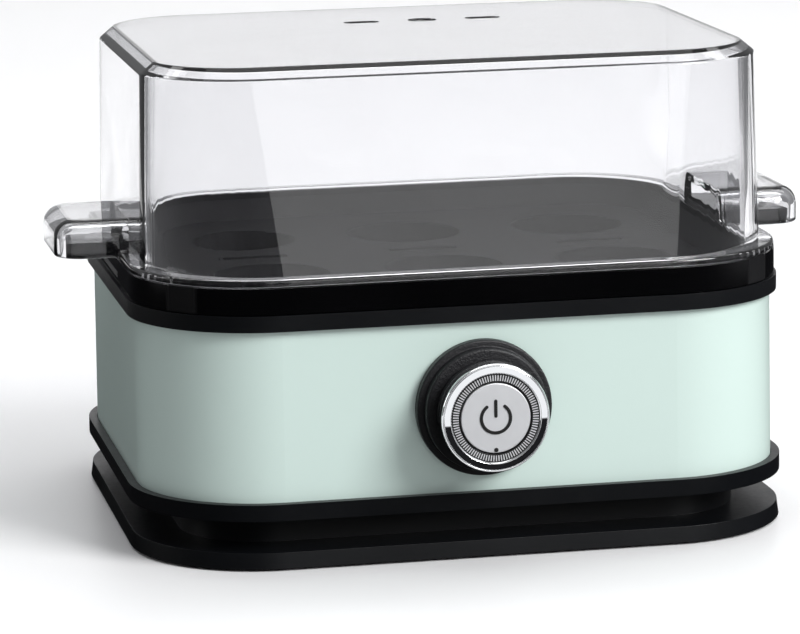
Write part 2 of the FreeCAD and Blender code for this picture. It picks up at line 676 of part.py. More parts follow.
def make_encoder():
    keep(collar("encoder_radius", "rotor_radius + running_gap", "sleeve_end", "board_front"),
         "dial_encoder")
    outer = rod("guide_radius", "guide_front", "board_front", z="knob_level", along="y")
    bore = rod("plunger_radius + running_gap", "guide_front - 1", "board_front + 1",
               z="knob_level", along="y")
    room = rod("guide_radius - 1.2", "guide_step", "board_front + 1", z="knob_level", along="y")
    keep(cut(outer, bore, room), "button_guide")
    case = box(("-3", "3"), ("board_front - 2.4", "board_front"),
               ("knob_level - 3", "knob_level + 3"))
    stem = rod("1.6", "switch_front", "board_front", z="knob_level", along="y")
    keep(fuse(case, stem), "power_switch")


def make_power_button():
    disc = rod("button_radius", "button_front", "button_back", z="knob_level", along="y")
    keep(eased(disc, 0.4, ("button_front",)), "power_button")
    keep(rod("plunger_radius", "button_back", "plunger_end", z="knob_level", along="y"),
         "button_plunger")
    arc_ring = collar("4.4", "3.6", "button_front - 0.15", "button_front")
    notch = box(("-1.5", "1.5"), ("button_front - 1", "button_front + 1"),
                ("knob_level", "knob_level + 6"))
    bar = box(("-0.45", "0.45"), ("button_front - 0.15", "button_front"),
              ("knob_level + 0.3", "knob_level + 4.9"))
    keep(group(cut(arc_ring, notch), bar), "power_icon")


def make_button_spring():
    """Compression coil behind the button: short straight runs that follow a helix."""
    first = number("button_back") + 0.5
    height = number("guide_front") - number("button_back") - 1.0
    turns = height / number("coil_pitch")
    runs = round(16 * turns)
    radius = number("coil_radius")
    points = []
    for index in range(runs + 1):
        angle = 2 * math.pi * turns * index / runs
        points.append(FreeCAD.Vector(radius * math.cos(angle), first + height * index / runs,
                                     number("knob_level") + radius * math.sin(angle)))
    path = Part.makePolygon(points)
    section = Part.Wire(Part.Circle(points[0], points[1] - points[0],
                                    number("coil_wire")).toShape())
    spring = doc.addObject("Part::Feature", "Spring")
    spring.Shape = path.makePipeShell([section], True, False, 1)
    spring.Placement = FreeCAD.Placement()
    keep(spring, "button_spring")


# ---------------------------------------------------------------- egg tray

def make_egg_tray():
    """Lift-out tray: gloss collar, sloping well, six egg cups and an ear at each end."""
    body = new_body("egg_tray_blank")
    sub_parts.remove(body)
    pad(body, plan(body, "collar_low", "collar_out"), "collar_high", "collar_low")
    pad(body, plan(body, "collar_high", "-1*lip_in"), "lip_high", "collar_high")
    pocket(body, plan(body, "lip_high", "-1*lip_in - lip_width"), "lip_high", "collar_high")
    loft(body, [plan(body, "collar_high + 0.01", "-1*well_in - 1.2"),
                plan(body, "deck_high", "-1*tray_deck_in")], cutting=True)
    pocket(body, plan(body, "collar_low + 3", "-3.2", "-9.5"), "collar_low + 3", "collar_low")
    additions = []
    removals = []
    for column in (-1, 0, 1):
        for side in (-1, 1):
            x, y = f"{column}*egg_pitch_x", f"{side}*egg_row_y"
            additions.append(cone("cup_hole + cup_wall", "egg_hole + cup_wall",
                                  "cup_low", "deck_high - 0.5", x, y))
            removals.append(cone("cup_hole", "egg_hole", "cup_low - 0.1", "deck_high - 0.5",
                                 x, y))
            removals.append(rod("egg_hole", "deck_high - 0.5", "deck_high + 1", x=x, y=y))
        removals.append(box((f"{column}*egg_pitch_x - 0.5*slot_length",
                             f"{column}*egg_pitch_x + 0.5*slot_length"),
                            ("-0.5*slot_width", "0.5*slot_width"),
                            ("collar_low - 1", "deck_high + 1")))
    for side in (-1, 1):
        low, high = sorted((f"{side}*ear_root", f"{side}*ear_tip"), key=number)
        additions.append(box((low, high), ("-1*ear_half_y", "ear_half_y"),
                             ("ear_low", "ear_high")))
        low, high = sorted((f"{side}*ear_root", f"{side}*riser_out"), key=number)
        additions.append(box((low, high), ("-1*ear_half_y", "ear_half_y"),
                             ("collar_high - 0.5", "ear_high")))
        face = f"{side}*body_half_x + {side}*collar_out"
        low, high = sorted((f"{face} - {side}*panel_depth", f"{face} + {side}*1"), key=number)
        removals.append(box((low, high), ("-1*panel_half_y", "panel_half_y"),
                            ("panel_low", "panel_high")))
    keep(cut(fuse(body, *additions), *removals), "egg_tray")


# ---------------------------------------------------------------- lid

def make_lid():
    """Clear moulding: drafted walls, bevelled top, rim flange and a hollow hood at each end."""
    body = new_body("lid_blank")
    sub_parts.remove(body)
    top = ("lid_top_half_x", "lid_top_half_y", "lid_top_radius")
    loft(body, [plan(body, "flange_high", "-1*lid_foot_in"),
                rounded(body, "crease_level", *top)])
    loft(body, [rounded(body, "crease_level", *top),
                rounded(body, "lid_high", *(f"{item} - lid_chamfer" for item in top))])
    pad(body, plan(body, "lid_low", "flange_out"), "flange_high", "lid_low")
    pad(body, rounded(body, "hood_low", "hood_tip", "hood_half_y", "hood_radius"),
        "hood_shoulder", "hood_low")
    loft(body, [rounded(body, "hood_shoulder", "hood_tip", "hood_half_y", "hood_radius"),
                rounded(body, "hood_high", "hood_tip - hood_bevel_x",
                        "hood_half_y - hood_bevel_y", "hood_radius - 2")])
    loft(body, [rounded(body, "lid_low", "body_half_x - lid_foot_in - lid_wall",
                        "body_half_y - lid_foot_in - lid_wall",
                        "body_radius - lid_foot_in - lid_wall"),
                rounded(body, "crease_level", *(f"{item} - lid_wall" for item in top))],
         cutting=True)
    loft(body, [rounded(body, "crease_level", *(f"{item} - lid_wall" for item in top)),
                rounded(body, "lid_high - lid_wall",
                        *(f"{item} - lid_chamfer - 0.6" for item in top))], cutting=True)
    hood_inside = ("hood_tip - hood_wall", "hood_half_y - hood_wall", "hood_radius - hood_wall")
    loft(body, [rounded(body, "hood_shoulder - 1", *hood_inside),
                rounded(body, "hood_high - hood_wall", "hood_tip - hood_bevel_x - 0.6",
                        "hood_half_y - hood_bevel_y - 0.6", "hood_radius - hood_wall - 2")],
         cutting=True)
    pocket(body, rounded(body, "hood_shoulder - 1", *hood_inside), "hood_shoulder - 1", "lid_low")
    vents = [box((f"vent_middle + {side}*vent_x - 0.5*vent_length",
                  f"vent_middle + {side}*vent_x + 0.5*vent_length"),
                 ("vent_y - 0.5*vent_width", "vent_y + 0.5*vent_width"),
                 ("lid_high - 6", "lid_high + 1")) for side in (-1, 1)]
    mark = rod("mark_radius", "lid_high - 0.6", "lid_high + 1", x="vent_middle", y="vent_y")
    keep(cut(body, *vents, mark), "lid")


for make in (make_base_plate, make_rubber_feet, make_base_screws, make_tie_screws,
             make_cord_gland, make_chassis, make_body_shell, make_upper_ring, make_plate_gasket,
             make_heating_plate, make_heater, make_stud_nuts, make_heat_shield,
             make_thermostat, make_thermal_fuse, make_control_board, make_board_components,
             make_terminal_block, make_wires, make_knob_bezel, make_dial, make_encoder,
             make_power_button, make_button_spring, make_egg_tray, make_lid):
    make()
doc.recompute()

for item in doc.Objects:
    if any(state in ("Invalid", "Error") for state in item.State):
        raise RuntimeError(f"{item.Label}: {item.State}")
for piece in sub_parts:
    shape = piece.Shape
    if shape.isNull() or not shape.isValid() or not shape.Solids:
        raise RuntimeError(f"{piece.Label}: bad shape")

os.makedirs("parts", exist_ok=True)
for piece in sub_parts:
    piece.Shape.exportStep(f"parts/{piece.Label}.step")
    print(piece.Label, len(piece.Shape.Solids), round(piece.Shape.Volume, 1))
print(len(sub_parts), "sub-parts")
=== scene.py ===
import json
import math

import bmesh
import bpy
from mathutils import Matrix, Vector


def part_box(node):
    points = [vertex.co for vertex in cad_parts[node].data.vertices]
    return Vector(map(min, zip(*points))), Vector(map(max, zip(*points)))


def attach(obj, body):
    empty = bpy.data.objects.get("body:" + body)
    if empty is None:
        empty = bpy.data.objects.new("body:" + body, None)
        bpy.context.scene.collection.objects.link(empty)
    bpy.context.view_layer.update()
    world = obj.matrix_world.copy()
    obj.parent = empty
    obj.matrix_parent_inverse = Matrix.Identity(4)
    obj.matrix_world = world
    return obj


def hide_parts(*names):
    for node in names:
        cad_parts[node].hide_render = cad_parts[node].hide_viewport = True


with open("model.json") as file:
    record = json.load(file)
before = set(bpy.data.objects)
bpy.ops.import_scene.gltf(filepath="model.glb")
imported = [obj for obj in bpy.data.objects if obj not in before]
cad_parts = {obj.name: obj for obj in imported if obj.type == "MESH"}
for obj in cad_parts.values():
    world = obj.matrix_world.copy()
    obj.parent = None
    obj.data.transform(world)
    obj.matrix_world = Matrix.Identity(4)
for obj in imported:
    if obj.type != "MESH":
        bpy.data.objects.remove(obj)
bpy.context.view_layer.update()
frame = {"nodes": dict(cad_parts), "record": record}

MM = 0.001

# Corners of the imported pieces' boxes.
RING_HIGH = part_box("upper_ring")[1]
LID_LOW, LID_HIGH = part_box("lid")
BEZEL_LOW, BEZEL_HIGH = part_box("knob_bezel")
CHROME_LOW, CHROME_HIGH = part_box("dial_chrome_ring")
SCALE_LOW, SCALE_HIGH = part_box("dial_tick_ring")
DISC_LOW, DISC_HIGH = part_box("power_button")
ICON_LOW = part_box("power_icon")[0]

# The shell's plan outline, which the upper ring stands proud of, and the height of the knob's axis.
RING_OUT = 2.0 * MM
HALF_X = RING_HIGH.x - RING_OUT
HALF_Y = RING_HIGH.y - RING_OUT
CORNER = 36.0 * MM
KNOB_LEVEL = (BEZEL_LOW.z + BEZEL_HIGH.z) / 2


# ---------------------------------------------------------------- outlines and profiles

def arc_points(centre, radius, first, last, steps):
    """Points on an arc, from one angle to another, both included."""
    points = []
    for index in range(steps + 1):
        angle = first + (last - first) * index / steps
        points.append((centre[0] + radius * math.cos(angle),
                       centre[1] + radius * math.sin(angle)))
    return points


def plan_outline(half_x, half_y, radius, kink, steps):
    """A rounded rectangle, anticlockwise.  kink is the angle that its arcs make with the ends."""
    quarter = arc_points((half_x - radius * math.cos(kink), half_y - radius), radius,
                         kink, math.pi / 2, steps)
    mirrored = [(-x, y) for x, y in reversed(quarter)]
    upper = quarter + mirrored
    return upper + [(-x, -y) for x, y in upper]


def softened(corners, closed, steps=4):
    """A profile's points.  Each corner is (out, level, radius), and its radius becomes an arc."""
    points = []
    count = len(corners)
    for index, (out, level, radius) in enumerate(corners):
        at_end = not closed and index in (0, count - 1)
        if radius == 0 or at_end:
            points.append((out, level))
            continue
        corner = Vector((out, level))
        before = Vector(corners[index - 1][:2])
        after = Vector(corners[(index + 1) % count][:2])
        inward = (before - corner).normalized()
        outward = (after - corner).normalized()
        half = inward.angle(outward) / 2
        reach = radius / math.tan(half)
        centre = corner + (inward + outward).normalized() * (radius / math.sin(half))
        start = corner + inward * reach - centre
        end = corner + outward * reach - centre
        for step in range(steps + 1):
            spoke = start.slerp(end, step / steps).normalized() * radius
            points.append(tuple(centre + spoke))
    return points


# ---------------------------------------------------------------- meshes

def new_piece(name, mesh_maker):
    """An object whose mesh is made by a function that fills a bmesh."""
    mesh = bpy.data.meshes.new(name)
    work = bmesh.new()
    mesh_maker(work)
    bmesh.ops.remove_doubles(work, verts=work.verts, dist=1e-7)
    bmesh.ops.recalc_face_normals(work, faces=work.faces)
    work.to_mesh(mesh)
    work.free()
    piece = bpy.data.objects.new(name, mesh)
    bpy.context.scene.collection.objects.link(piece)
    return piece


def shade(piece, angle=32.0):
    """Smooth faces, sharp edges over the angle, and flat faces that stay flat beside arcs."""
    piece.data.polygons.foreach_set("use_smooth", [True] * len(piece.data.polygons))
    piece.data.set_sharp_from_angle(angle=math.radians(angle))
    weighted = piece.modifiers.new("flat_faces", "WEIGHTED_NORMAL")
    weighted.keep_sharp = True
    return piece


def skin_rings(work, rings, closed):
    """Faces between rings of points; an open run of rings gets a flat face at each end."""
    made = [[work.verts.new(point) for point in ring] for ring in rings]
    pairs = list(zip(made, made[1:]))
    if closed:
        pairs.append((made[-1], made[0]))
    for low, high in pairs:
        for index in range(len(low)):
            after = (index + 1) % len(low)
            work.faces.new((low[index], low[after], high[after], high[index]))
    if not closed:
        work.faces.new(made[0])
        work.faces.new(made[-1])


def swept(name, profile, plan, closed):
    """A solid whose (out, level) profile runs round an outline; plan gives the ring for each."""
    def fill(work):
        rings = [[(x, y, level) for x, y in plan(out, level)] for out, level in profile]
        skin_rings(work, rings, closed)
    return new_piece(name, fill)


def turned(name, profile, steps=128):
    """A solid turned about the knob's axis; the profile is a closed loop of (radius, y)."""
    def fill(work):
        rings = []
        for radius, depth in profile:
            circle = arc_points((0.0, KNOB_LEVEL), max(radius, 1e-9), 0.0, math.tau, steps)[:-1]
            rings.append([(x, depth, z) for x, z in circle])
        skin_rings(work, rings, True)
        bmesh.ops.dissolve_degenerate(work, edges=work.edges, dist=1e-7)
    return new_piece(name, fill)


def combine(piece, operation, *tools):
    """Applies a boolean of each tool to the piece, and removes the tool."""
    for tool in tools:
        modifier = piece.modifiers.new("combine", "BOOLEAN")
        modifier.operation = operation
        modifier.solver = "EXACT"
        modifier.object = tool
        evaluated = piece.evaluated_get(bpy.context.evaluated_depsgraph_get())
        mesh = bpy.data.meshes.new_from_object(evaluated)
        mesh.name = piece.name
        piece.modifiers.clear()
        piece.data = mesh
        bpy.data.objects.remove(tool)
    return piece


# ---------------------------------------------------------------- node materials

class Look:
    """One procedural material under construction, laid out in object coordinates (metres)."""

    def __init__(self, name):
        self.material = bpy.data.materials.new(name)
        self.material.use_nodes = True
        self.tree = self.material.node_tree
        self.surface = self.tree.nodes["Principled BSDF"]
        self.places = self.add("ShaderNodeTexCoord").outputs["Object"]

    def add(self, kind, inputs=None, **settings):
        """A new node with its settings and inputs."""
        node = self.tree.nodes.new(kind)
        for key, value in settings.items():
            setattr(node, key, value)
        self.feed(node, inputs or {})
        return node

    def feed(self, node, inputs):
        """Links each socket given to a node's input, or sets the input to the value given."""
        for key, value in inputs.items():
            if isinstance(value, bpy.types.NodeSocket):
                self.tree.links.new(value, node.inputs[key])
            else:
                node.inputs[key].default_value = value

    def noise(self, size, detail=3.0, places=None):
        """Noise whose features are about size metres across."""
        return self.add("ShaderNodeTexNoise", {"Vector": places or self.places,
                                               "Scale": 1.0 / size, "Detail": detail}).outputs[0]

    def spread(self, value, low, high, from_low=0.3, from_high=0.7):
        """The value mapped from its usual range to low .. high."""
        return self.add("ShaderNodeMapRange", {
            "Value": value, "From Min": from_low, "From Max": from_high,
            "To Min": low, "To Max": high}).outputs[0]

    def tones(self, value, dark, light, first=0.3, last=0.7):
        """A colour between two tones, driven by a value."""
        ramp = self.add("ShaderNodeValToRGB", {"Fac": value})
        ramp.color_ramp.elements[0].position = first
        ramp.color_ramp.elements[0].color = (*dark, 1.0)
        ramp.color_ramp.elements[1].position = last
        ramp.color_ramp.elements[1].color = (*light, 1.0)
        return ramp.outputs[0]

    def bump(self, height, depth, over=None):
        """A normal that follows a height, on top of another normal when one is given."""
        inputs = {"Height": height, "Distance": depth}
        if over:
            inputs["Normal"] = over
        return self.add("ShaderNodeBump", inputs).outputs[0]

    def finish(self, **inputs):
        """The material, once its surface has these inputs."""
        self.feed(self.surface, {key.replace("_", " "): value for key, value in inputs.items()})
        return self.material


def scaled(colour, factor):
    """A darker or lighter tone of a colour."""
    return tuple(channel * factor for channel in colour)


def moulded(name, colour, roughness, grain, depth, shine=0.5, vary=0.12):
    """Moulded plastic or rubber: fine grain, slow changes of gloss, and a little dust."""
    look = Look(name)
    fine = look.noise(grain, 2.0)
    slow = look.noise(40 * MM, 2.0)
    dust = look.noise(1.4 * MM, 6.0)
    tone = look.tones(slow, scaled(colour, 1 - vary), scaled(colour, 1 + vary))
    sheen = look.add("ShaderNodeMath", {0: look.spread(slow, -0.04, 0.04),
                                        1: look.spread(dust, -0.02, 0.03)}).outputs[0]
    rough = look.add("ShaderNodeMath", {0: sheen, 1: roughness}, use_clamp=True).outputs[0]
    return look.finish(Base_Color=tone, Roughness=rough, Specular_IOR_Level=shine,
                       Normal=look.bump(fine, depth, over=look.bump(slow, 0.05 * MM)))


def painted(name, colour):
    """Baked paint on a steel band: a clear coat with faint orange peel over the colour."""
    look = Look(name)
    slow = look.noise(60 * MM, 1.0)
    peel = look.noise(1.1 * MM, 2.0)
    flake = look.noise(0.12 * MM, 1.0)
    tone = look.tones(look.spread(flake, 0.42, 0.58, 0.35, 0.65),
                      scaled(colour, 0.985), scaled(colour, 1.015), 0.4, 0.6)
    return look.finish(Base_Color=tone, Roughness=look.spread(slow, 0.30, 0.36),
                       Coat_Weight=0.25, Coat_Roughness=look.spread(slow, 0.16, 0.22),
                       Normal=look.bump(peel, 0.004 * MM))


def mirror_chrome(name, colour):
    """Polished plating, with no haze and the faintest unevenness."""
    look = Look(name)
    slow = look.noise(9 * MM, 2.0)
    return look.finish(Base_Color=look.tones(slow, scaled(colour, 0.97), colour), Metallic=1.0,
                       Roughness=0.0, Normal=look.bump(slow, 0.002 * MM))


def metal(name, colour, roughness, brushed=0.0, stretch=(1.0, 1.0, 1.0)):
    """Bare or plated metal; brushed is the depth of lines that run along the stretched axis."""
    look = Look(name)
    lines_at = look.add("ShaderNodeMapping", {"Vector": look.places, "Scale": stretch}).outputs[0]
    lines = look.noise(0.25 * MM, 3.0, lines_at)
    slow = look.noise(12 * MM, 3.0)
    return look.finish(Base_Color=look.tones(slow, scaled(colour, 0.93), colour), Metallic=1.0,
                       Roughness=look.spread(lines, max(roughness - 0.05, 0.02),
                                             roughness + 0.06),
                       Normal=look.bump(lines, brushed))


def turned_metal(name, colour, roughness, depth, metallic):
    """Metal faced on a lathe: rings of fine lines round the knob's axis."""
    look = Look(name)
    from_axis = look.add("ShaderNodeVectorMath", {0: look.places, 1: (0.0, 0.0, KNOB_LEVEL)},
                         operation="SUBTRACT").outputs[0]
    flat = look.add("ShaderNodeVectorMath", {0: from_axis, 1: (1.0, 0.0, 1.0)},
                    operation="MULTIPLY").outputs[0]
    radius = look.add("ShaderNodeVectorMath", {0: flat}, operation="LENGTH").outputs["Value"]
    across = look.add("ShaderNodeCombineXYZ", {"X": radius}).outputs[0]
    rings = look.noise(0.07 * MM, 3.0, across)
    slow = look.noise(5 * MM, 2.0)
    return look.finish(Base_Color=look.tones(slow, scaled(colour, 0.96), colour),
                       Metallic=metallic,
                       Roughness=look.spread(rings, roughness - 0.05, roughness + 0.08),
                       Normal=look.bump(rings, depth))


def clear_plastic(name):
    """Clear moulded plastic, which lets lamps through to what it covers."""
    look = Look(name)
    flow = look.noise(28 * MM, 2.0)
    fine = look.noise(2.2 * MM, 3.0)
    tint = look.tones(flow, (0.920, 0.920, 0.932), (0.938, 0.938, 0.950))
    look.finish(Base_Color=tint, IOR=1.49, Transmission_Weight=1.0,
                Roughness=look.spread(fine, 0.004, 0.02), Normal=look.bump(flow, 0.02 * MM))
    rays = look.add("ShaderNodeLightPath").outputs["Is Shadow Ray"]
    thin = look.add("ShaderNodeBsdfTransparent", {"Color": (0.93, 0.93, 0.94, 1.0)}).outputs[0]
    mixed = look.add("ShaderNodeMixShader", {0: rays, 1: look.surface.outputs[0], 2: thin})
    look.feed(look.tree.nodes["Material Output"], {"Surface": mixed.outputs[0]})
    return look.material


def tray_black(name):
    """The tray's plastic: gloss on the collar and ears, satin down in the well."""
    look = Look(name)
    parts = look.add("ShaderNodeSeparateXYZ", {0: look.places})
    along = look.add("ShaderNodeMath", {0: parts.outputs[0]}, operation="ABSOLUTE").outputs[0]
    across = look.add("ShaderNodeMath", {0: parts.outputs[1]}, operation="ABSOLUTE").outputs[0]
    ends = look.spread(along, 1.0, 0.0, HALF_X - 7 * MM, HALF_X - 6 * MM)
    sides = look.spread(across, 1.0, 0.0, HALF_Y - 7 * MM, HALF_Y - 6 * MM)
    well = look.add("ShaderNodeMath", {0: ends, 1: sides}, operation="MULTIPLY").outputs[0]
    grain = look.noise(0.25 * MM, 2.0)
    slow = look.noise(30 * MM, 2.0)
    depth = look.spread(well, 0.0005 * MM, 0.003 * MM, 0.0, 1.0)
    relief = look.add("ShaderNodeMath", {0: grain, 1: depth}, operation="MULTIPLY").outputs[0]
    haze = look.spread(slow, 0.0, 0.04)
    rough = look.add("ShaderNodeMath", {0: look.spread(well, 0.07, 0.40, 0.0, 1.0),
                                        1: haze}).outputs[0]
    outer = look.tones(slow, (0.0008, 0.0008, 0.0010), (0.0014, 0.0014, 0.0017))
    inner = look.tones(slow, (0.0085, 0.0085, 0.0090), (0.0130, 0.0130, 0.0138))
    tone = look.add("ShaderNodeMix", {0: well, 6: outer, 7: inner}, data_type="RGBA").outputs[2]
    return look.finish(Base_Color=tone, Roughness=rough,
                       Specular_IOR_Level=look.spread(well, 0.5, 0.003, 0.0, 1.0),
                       Normal=look.bump(relief, 1.0))


LOOKS = {
    "satin_black": moulded("satin_black", (0.0025, 0.003, 0.004), 0.36, 0.22 * MM, 0.006 * MM,
                           shine=0.3),
    "gloss_black": tray_black("gloss_black"),
    "mint_paint": painted("mint_paint", (0.575, 0.70, 0.655)),
    "clear_plastic": clear_plastic("clear_plastic"),
    "foot_rubber": moulded("foot_rubber", (0.02, 0.02, 0.02), 0.75, 0.3 * MM, 0.02 * MM),
    "silicone": moulded("silicone", (0.45, 0.12, 0.08), 0.5, 0.5 * MM, 0.01 * MM),
    "plate_steel": metal("plate_steel", (0.62, 0.62, 0.61), 0.28, 0.004 * MM, (0.04, 1.0, 1.0)),
    "zinc_steel": metal("zinc_steel", (0.60, 0.60, 0.58), 0.35, 0.003 * MM),
    "heater_sheath": metal("heater_sheath", (0.25, 0.22, 0.20), 0.45, 0.01 * MM),
    "bright_chrome": mirror_chrome("bright_chrome", (0.90, 0.91, 0.92)),
    "knob_black": moulded("knob_black", (0.008, 0.008, 0.010), 0.46, 0.55 * MM, 0.20 * MM),
    "scale_black": moulded("scale_black", (0.008, 0.008, 0.009), 0.3, 0.2 * MM, 0.004 * MM),
    "silver_disc": turned_metal("silver_disc", (0.79, 0.80, 0.82), 0.42, 0.0012 * MM, 0.5),
    "icon_black": moulded("icon_black", (0.01, 0.01, 0.01), 0.4, 0.1 * MM, 0.002 * MM),
    "spring_steel": metal("spring_steel", (0.5, 0.5, 0.5), 0.3, 0.002 * MM),
    "board_green": moulded("board_green", (0.02, 0.16, 0.06), 0.35, 0.8 * MM, 0.01 * MM),
    "part_black": moulded("part_black", (0.02, 0.02, 0.022), 0.45, 0.3 * MM, 0.01 * MM),
    "part_blue": moulded("part_blue", (0.03, 0.09, 0.32), 0.4, 0.3 * MM, 0.01 * MM),
    "part_yellow": moulded("part_yellow", (0.7, 0.45, 0.05), 0.4, 0.3 * MM, 0.01 * MM),
    "block_white": moulded("block_white", (0.7, 0.7, 0.66), 0.5, 0.3 * MM, 0.01 * MM),
    "sleeve_white": moulded("sleeve_white", (0.72, 0.70, 0.64), 0.7, 0.3 * MM, 0.03 * MM),
    "wire_brown": moulded("wire_brown", (0.16, 0.06, 0.03), 0.45, 0.3 * MM, 0.01 * MM),
    "wire_green": moulded("wire_green", (0.12, 0.30, 0.04), 0.45, 0.3 * MM, 0.01 * MM),
    "wire_blue": moulded("wire_blue", (0.03, 0.10, 0.38), 0.45, 0.3 * MM, 0.01 * MM),
    "wire_white": moulded("wire_white", (0.66, 0.66, 0.62), 0.6, 0.3 * MM, 0.02 * MM),
}


# ---------------------------------------------------------------- CAD nodes

SOFT_EDGES = {"base_plate": 0.5, "chassis": 0.5, "upper_ring": 0.4, "egg_tray": 0.45,
              "heating_plate": 0.3, "cord_gland": 0.3, "rubber_feet": 0.5, "dial_barrel": 0.25}


def dress_cad_nodes():
    """Gives each CAD node its slot's look, and the visible ones softened edges."""
    for entry in frame["record"]["subparts"]:
        node = frame["nodes"][entry["node"]]
        for holder in node.material_slots:
            holder.material = LOOKS[entry["material_slot"]]
    for name, width in SOFT_EDGES.items():
        node = frame["nodes"][name]
        weld = node.modifiers.new("weld", "WELD")
        weld.merge_threshold = 1e-6
        bevel = node.modifiers.new("soft_edges", "BEVEL")
        bevel.width = width * MM
        bevel.segments = 3
        bevel.limit_method = "ANGLE"
        bevel.angle_limit = math.radians(35)
        bevel.harden_normals = False
        weighted = node.modifiers.new("flat_faces", "WEIGHTED_NORMAL")
        weighted.keep_sharp = False


def place_piece(piece, body, slot, *nodes):
    """Gives a new piece its look, its body, and the CAD nodes that it stands for."""
    piece.data.materials.clear()
    piece.data.materials.append(LOOKS[slot])
    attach(piece, body)
    if nodes:
        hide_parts(*nodes)


# ---------------------------------------------------------------- lid

FLANGE_HIGH = LID_LOW.z + 2.1 * MM
CREASE = LID_HIGH.z - 3.3 * MM
BEVEL_IN = 4 * MM
TOP_IN = 8 * MM
BEAD_OUT = 1.2 * MM
BEAD_IN = 5 * MM
LID_WALL = 2.2 * MM
END_WALL = 3.1 * MM
TOP_WALL = 1.8 * MM
LID_FOOT = (HALF_X - 2.0 * MM, HALF_Y - 2.0 * MM)
LID_TOP = (88.6 * MM, 69.0 * MM)
END_FLAT = 43.0 * MM
LID_KINK = math.radians(8.0)
HOOD_HALF_Y = 21.0 * MM
HOOD_LOW = LID_LOW.z + 0.05 * MM
HOOD_HIGH = LID_LOW.z + 10.5 * MM
HOOD_WALL = 2.0 * MM
HOOD_RADIUS = 8.5 * MM
HOOD_TOP_IN = 7 * MM
VENT_MIDDLE = (6.8 * MM, 28.7 * MM)
VENT_APART = 18.5 * MM


def lid_plan(out, level):
    """The drafted wall's outline at a level: flat ends that meet the corner arcs at a kink."""
    up = min(max((level - FLANGE_HIGH) / (CREASE - FLANGE_HIGH), 0.0), 1.0)
    half_x = LID_FOOT[0] + (LID_TOP[0] - LID_FOOT[0]) * up + out
    half_y = LID_FOOT[1] + (LID_TOP[1] - LID_FOOT[1]) * up + out
    radius = (half_y - END_FLAT) / (1 - math.sin(LID_KINK))
    return plan_outline(half_x, half_y, radius, LID_KINK, 16)


def room_plan(out, level):
    """The lid's inside at a level: the end walls are thicker than the long ones."""
    outline = lid_plan(out, level)
    reach = max(x for x, y in outline)
    return [(x * (reach + LID_WALL - END_WALL) / reach, y) for x, y in outline]


def body_plan(out, level):
    """The outline that the tray, rings and shell share."""
    return plan_outline(HALF_X + out, HALF_Y + out, CORNER + out, 0.0, 16)


def hood_plan(inset, level):
    """The hoods' outline, one long block across the lid."""
    return plan_outline(LID_HIGH.x - inset, HOOD_HALF_Y - inset, HOOD_RADIUS - inset, 0.0, 8)


def top_cutter(name, x, half_x, half_y, floor):
    """A tool that cuts a round-ended hole into the lid's top, flared at its upper edge."""
    profile = [(0, floor), (0, LID_HIGH.z - 0.35 * MM), (0.6 * MM, LID_HIGH.z + 0.2 * MM)]

    def fill(work):
        rings = []
        for out, level in profile:
            ring = plan_outline(half_x + out, half_y + out, half_y + out, 0.0, 8)
            rings.append([(VENT_MIDDLE[0] + x + across, VENT_MIDDLE[1] + along, level)
                          for across, along in ring])
        skin_rings(work, rings, False)
    return new_piece(name, fill)


def make_lid():
    """Clear moulding: drafted walls, bevelled top, bead round the rim and a hood at each end."""
    wall = softened([(0, FLANGE_HIGH - 1.0 * MM, 0), (0, CREASE, 0.9 * MM),
                     (-BEVEL_IN, LID_HIGH.z, 0.8 * MM), (-TOP_IN, LID_HIGH.z, 0)], False)
    lid = swept("lid_moulding", wall, lid_plan, False)
    bead = softened([(-BEAD_IN, LID_LOW.z, 0), (BEAD_OUT, LID_LOW.z, 0.5 * MM),
                     (BEAD_OUT, FLANGE_HIGH, 0.9 * MM), (-BEAD_IN, FLANGE_HIGH, 0)], True)
    rim = swept("rim", bead, body_plan, True)
    hood = softened([(6 * MM, HOOD_LOW, 0), (0, HOOD_LOW, 0.6 * MM), (0, HOOD_HIGH, 5.0 * MM),
                     (HOOD_TOP_IN, HOOD_HIGH, 0)], False, 8)
    hoods = swept("hoods", hood, hood_plan, False)
    combine(lid, "UNION", rim, hoods)
    below = LID_LOW.z - 1 * MM
    ceiling = LID_HIGH.z - TOP_WALL
    hood_ceiling = HOOD_HIGH - HOOD_WALL
    room = softened([(-LID_WALL, below, 0), (-LID_WALL, CREASE - 0.13 * MM, 0.6 * MM),
                     (-4.17 * MM, ceiling, 0.6 * MM), (-TOP_IN, ceiling, 0)], False)
    hood_room = softened([(HOOD_WALL, below, 0), (HOOD_WALL, hood_ceiling, 3.4 * MM),
                          (HOOD_TOP_IN, hood_ceiling, 0)], False, 8)
    vents = [top_cutter("vent", x, 5.0 * MM, 2.1 * MM, LID_HIGH.z - 6 * MM)
             for x in (-VENT_APART, VENT_APART)]
    combine(lid, "DIFFERENCE", swept("room", room, room_plan, False),
            swept("hood_room", hood_room, hood_plan, False), *vents,
            top_cutter("mark", 0.0, 4.0 * MM, 4.0 * MM, LID_HIGH.z - 0.6 * MM))
    place_piece(shade(lid), "lid", "clear_plastic", "lid")


# ---------------------------------------------------------------- knob

def front_of(distance):
    """The Y that lies this far in front of the band's face."""
    return -HALF_Y - distance


def make_bezel():
    """The fixed ring round the dial: a raised inner step and a lower outer one."""
    face = [(12.6, 6.6, 0.5), (17.3, 6.6, 0.7), (17.3, 3.4, 0.3), (19.2, 3.4, 0.6),
            (19.2, 0.4, 0.2), (14.3, 0.4, 0), (14.3, -3.5, 0.3), (12.6, -3.5, 0.3)]
    profile = softened([(r * MM, front_of(d * MM), s * MM) for r, d, s in face], True)
    place_piece(shade(turned("bezel_ring", profile)), "housing", "knob_black", "knob_bezel")


